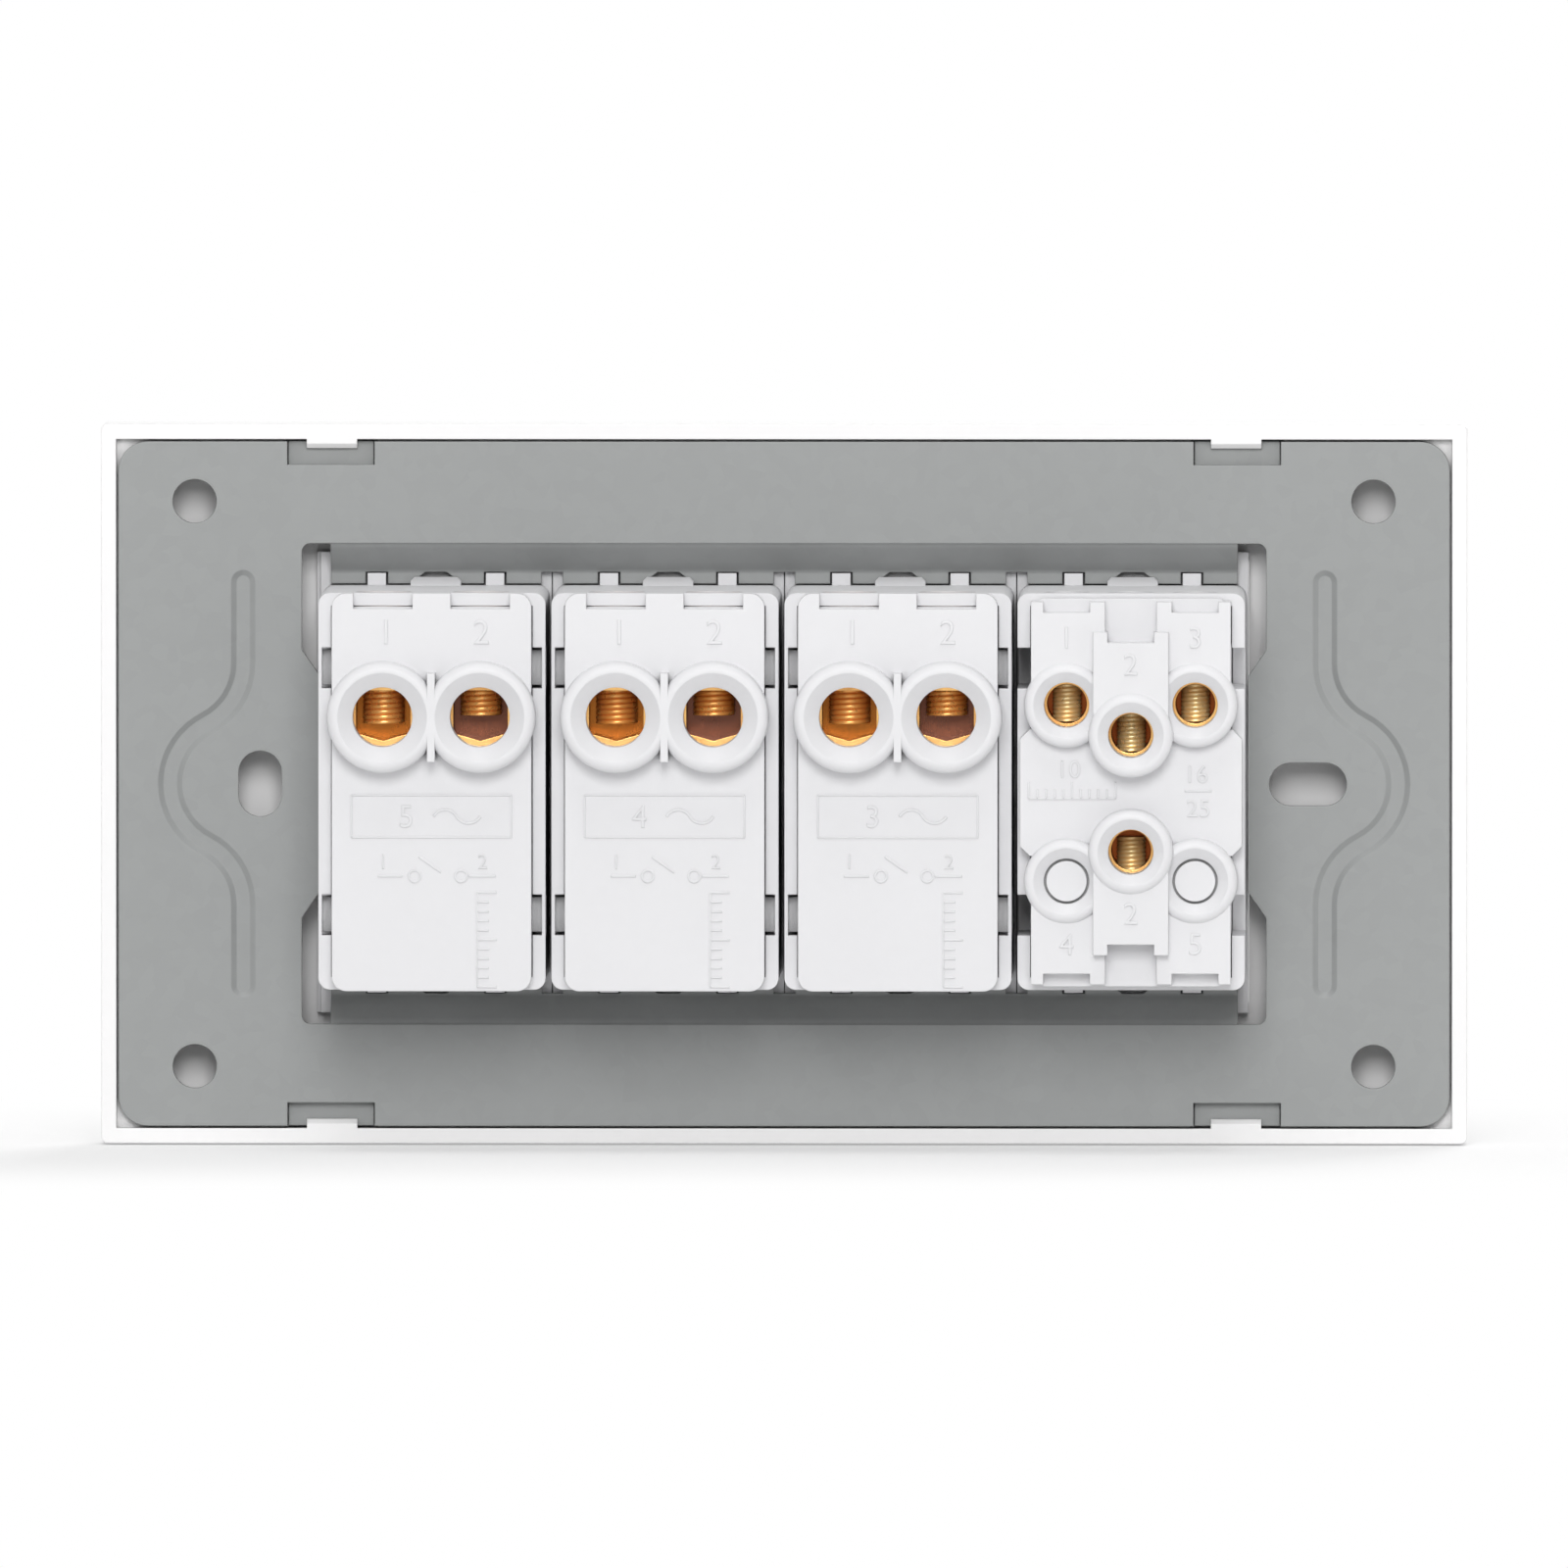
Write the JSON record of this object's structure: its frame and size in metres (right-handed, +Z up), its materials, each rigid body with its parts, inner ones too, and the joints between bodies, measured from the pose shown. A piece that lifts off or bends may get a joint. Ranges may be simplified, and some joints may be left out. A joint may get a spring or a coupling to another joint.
{
  "type": "light switch",
  "caption": "Wall light switch: white plate, steel bracket and clip-in rocker modules with rear wire terminals, seen from the rear.",
  "frame": {"origin": "on the wall plane, midway between the two fixing slots and at the centre of the four corner holes", "axes": "+X to the right seen from the front, +Y to the rear and into the wall, +Z up"},
  "size_m": [0.1408, 0.0358, 0.0742],
  "materials": {
    "plate_white": "satin white moulding",
    "rocker_white": "satin white moulding",
    "module_white": "matt white moulding",
    "zinc_steel": "matt zinc-plated sheet",
    "brass": "drawn brass",
    "silver": "polished contact metal",
    "spring_steel": "bright wire",
    "screw_steel": "yellow zinc-plated",
    "nylon": "plain moulding"
  },
  "bodies": {
    "base": {"front_plate": "plate_white", "bracket": "zinc_steel", "frame_twin": "module_white", "frame_3": "module_white", "frame_4": "module_white", "frame_5": "module_white", "housing_twin": "module_white", "housing_3": "module_white", "housing_4": "module_white", "housing_5": "module_white", "terminal_screws_twin": "screw_steel", "terminal_screws_3": "screw_steel", "terminal_screws_4": "screw_steel", "terminal_screws_5": "screw_steel", "common_terminal_1": "brass", "switched_terminal_1": "brass", "fixed_contact_1": "silver", "common_terminal_2": "brass", "switched_terminal_2": "brass", "fixed_contact_2": "silver", "common_terminal_3": "brass", "switched_terminal_3": "brass", "fixed_contact_3": "silver", "common_terminal_4": "brass", "switched_terminal_4": "brass", "fixed_contact_4": "silver", "common_terminal_5": "brass", "switched_terminal_5": "brass", "fixed_contact_5": "silver"},
    "gang_1_rocker": {"rocker_1": "rocker_white", "plunger_spring_1": "spring_steel"},
    "gang_1_plunger": {"plunger_1": "nylon"},
    "gang_1_lever": {"contact_lever_1": "brass", "moving_contact_1": "silver"},
    "gang_2_rocker": {"rocker_2": "rocker_white", "plunger_spring_2": "spring_steel"},
    "gang_2_plunger": {"plunger_2": "nylon"},
    "gang_2_lever": {"contact_lever_2": "brass", "moving_contact_2": "silver"},
    "gang_3_rocker": {"rocker_3": "rocker_white", "plunger_spring_3": "spring_steel"},
    "gang_3_plunger": {"plunger_3": "nylon"},
    "gang_3_lever": {"contact_lever_3": "brass", "moving_contact_3": "silver"},
    "gang_4_rocker": {"rocker_4": "rocker_white", "plunger_spring_4": "spring_steel"},
    "gang_4_plunger": {"plunger_4": "nylon"},
    "gang_4_lever": {"contact_lever_4": "brass", "moving_contact_4": "silver"},
    "gang_5_rocker": {"rocker_5": "rocker_white", "plunger_spring_5": "spring_steel"},
    "gang_5_plunger": {"plunger_5": "nylon"},
    "gang_5_lever": {"contact_lever_5": "brass", "moving_contact_5": "silver"}
  },
  "joints": [
    {"name": "rocker_1_tilt", "type": "hinge", "parent": "base", "child": "gang_1_rocker", "pos_m": [-0.0418, -0.003, 0], "axis": [1, 0, 0], "range_deg": [0, 9]},
    {"name": "lever_1_tilt", "type": "hinge", "parent": "base", "child": "gang_1_lever", "pos_m": [-0.0418, 0.008, 0], "axis": [1, 0, 0], "range_deg": [-18, 0]},
    {"name": "plunger_1_slide", "type": "slide", "parent": "gang_1_rocker", "child": "gang_1_plunger", "axis": [0, -0.9969, 0.0785], "range_m": [0, 0.001], "stiffness_N_per_m": 800, "deforming": ["plunger_spring_1"]},
    {"name": "rocker_2_tilt", "type": "hinge", "parent": "base", "child": "gang_2_rocker", "pos_m": [-0.03005, -0.003, 0], "axis": [1, 0, 0], "range_deg": [0, 9]},
    {"name": "lever_2_tilt", "type": "hinge", "parent": "base", "child": "gang_2_lever", "pos_m": [-0.03005, 0.008, 0], "axis": [1, 0, 0], "range_deg": [-18, 0]},
    {"name": "plunger_2_slide", "type": "slide", "parent": "gang_2_rocker", "child": "gang_2_plunger", "axis": [0, -0.9969, 0.0785], "range_m": [0, 0.001], "stiffness_N_per_m": 800, "deforming": ["plunger_spring_2"]},
    {"name": "rocker_3_tilt", "type": "hinge", "parent": "base", "child": "gang_3_rocker", "pos_m": [-0.01197, -0.003, 0], "axis": [1, 0, 0], "range_deg": [0, 9]},
    {"name": "lever_3_tilt", "type": "hinge", "parent": "base", "child": "gang_3_lever", "pos_m": [-0.01197, 0.008, 0], "axis": [1, 0, 0], "range_deg": [-18, 0]},
    {"name": "plunger_3_slide", "type": "slide", "parent": "gang_3_rocker", "child": "gang_3_plunger", "axis": [0, -0.9969, 0.0785], "range_m": [0, 0.001], "stiffness_N_per_m": 800, "deforming": ["plunger_spring_3"]},
    {"name": "rocker_4_tilt", "type": "hinge", "parent": "base", "child": "gang_4_rocker", "pos_m": [0.01197, -0.003, 0], "axis": [1, 0, 0], "range_deg": [0, 9]},
    {"name": "lever_4_tilt", "type": "hinge", "parent": "base", "child": "gang_4_lever", "pos_m": [0.01197, 0.008, 0], "axis": [1, 0, 0], "range_deg": [-18, 0]},
    {"name": "plunger_4_slide", "type": "slide", "parent": "gang_4_rocker", "child": "gang_4_plunger", "axis": [0, -0.9969, 0.0785], "range_m": [0, 0.001], "stiffness_N_per_m": 800, "deforming": ["plunger_spring_4"]},
    {"name": "rocker_5_tilt", "type": "hinge", "parent": "base", "child": "gang_5_rocker", "pos_m": [0.03592, -0.003, 0], "axis": [1, 0, 0], "range_deg": [0, 9]},
    {"name": "lever_5_tilt", "type": "hinge", "parent": "base", "child": "gang_5_lever", "pos_m": [0.03592, 0.008, 0], "axis": [1, 0, 0], "range_deg": [-18, 0]},
    {"name": "plunger_5_slide", "type": "slide", "parent": "gang_5_rocker", "child": "gang_5_plunger", "axis": [0, -0.9969, 0.0785], "range_m": [0, 0.001], "stiffness_N_per_m": 800, "deforming": ["plunger_spring_5"]}
  ],
  "couplings": [
    {"joint": "lever_1_tilt", "follows": "rocker_1_tilt", "ratio": -2},
    {"joint": "lever_2_tilt", "follows": "rocker_2_tilt", "ratio": -2},
    {"joint": "lever_3_tilt", "follows": "rocker_3_tilt", "ratio": -2},
    {"joint": "lever_4_tilt", "follows": "rocker_4_tilt", "ratio": -2},
    {"joint": "lever_5_tilt", "follows": "rocker_5_tilt", "ratio": -2}
  ]
}
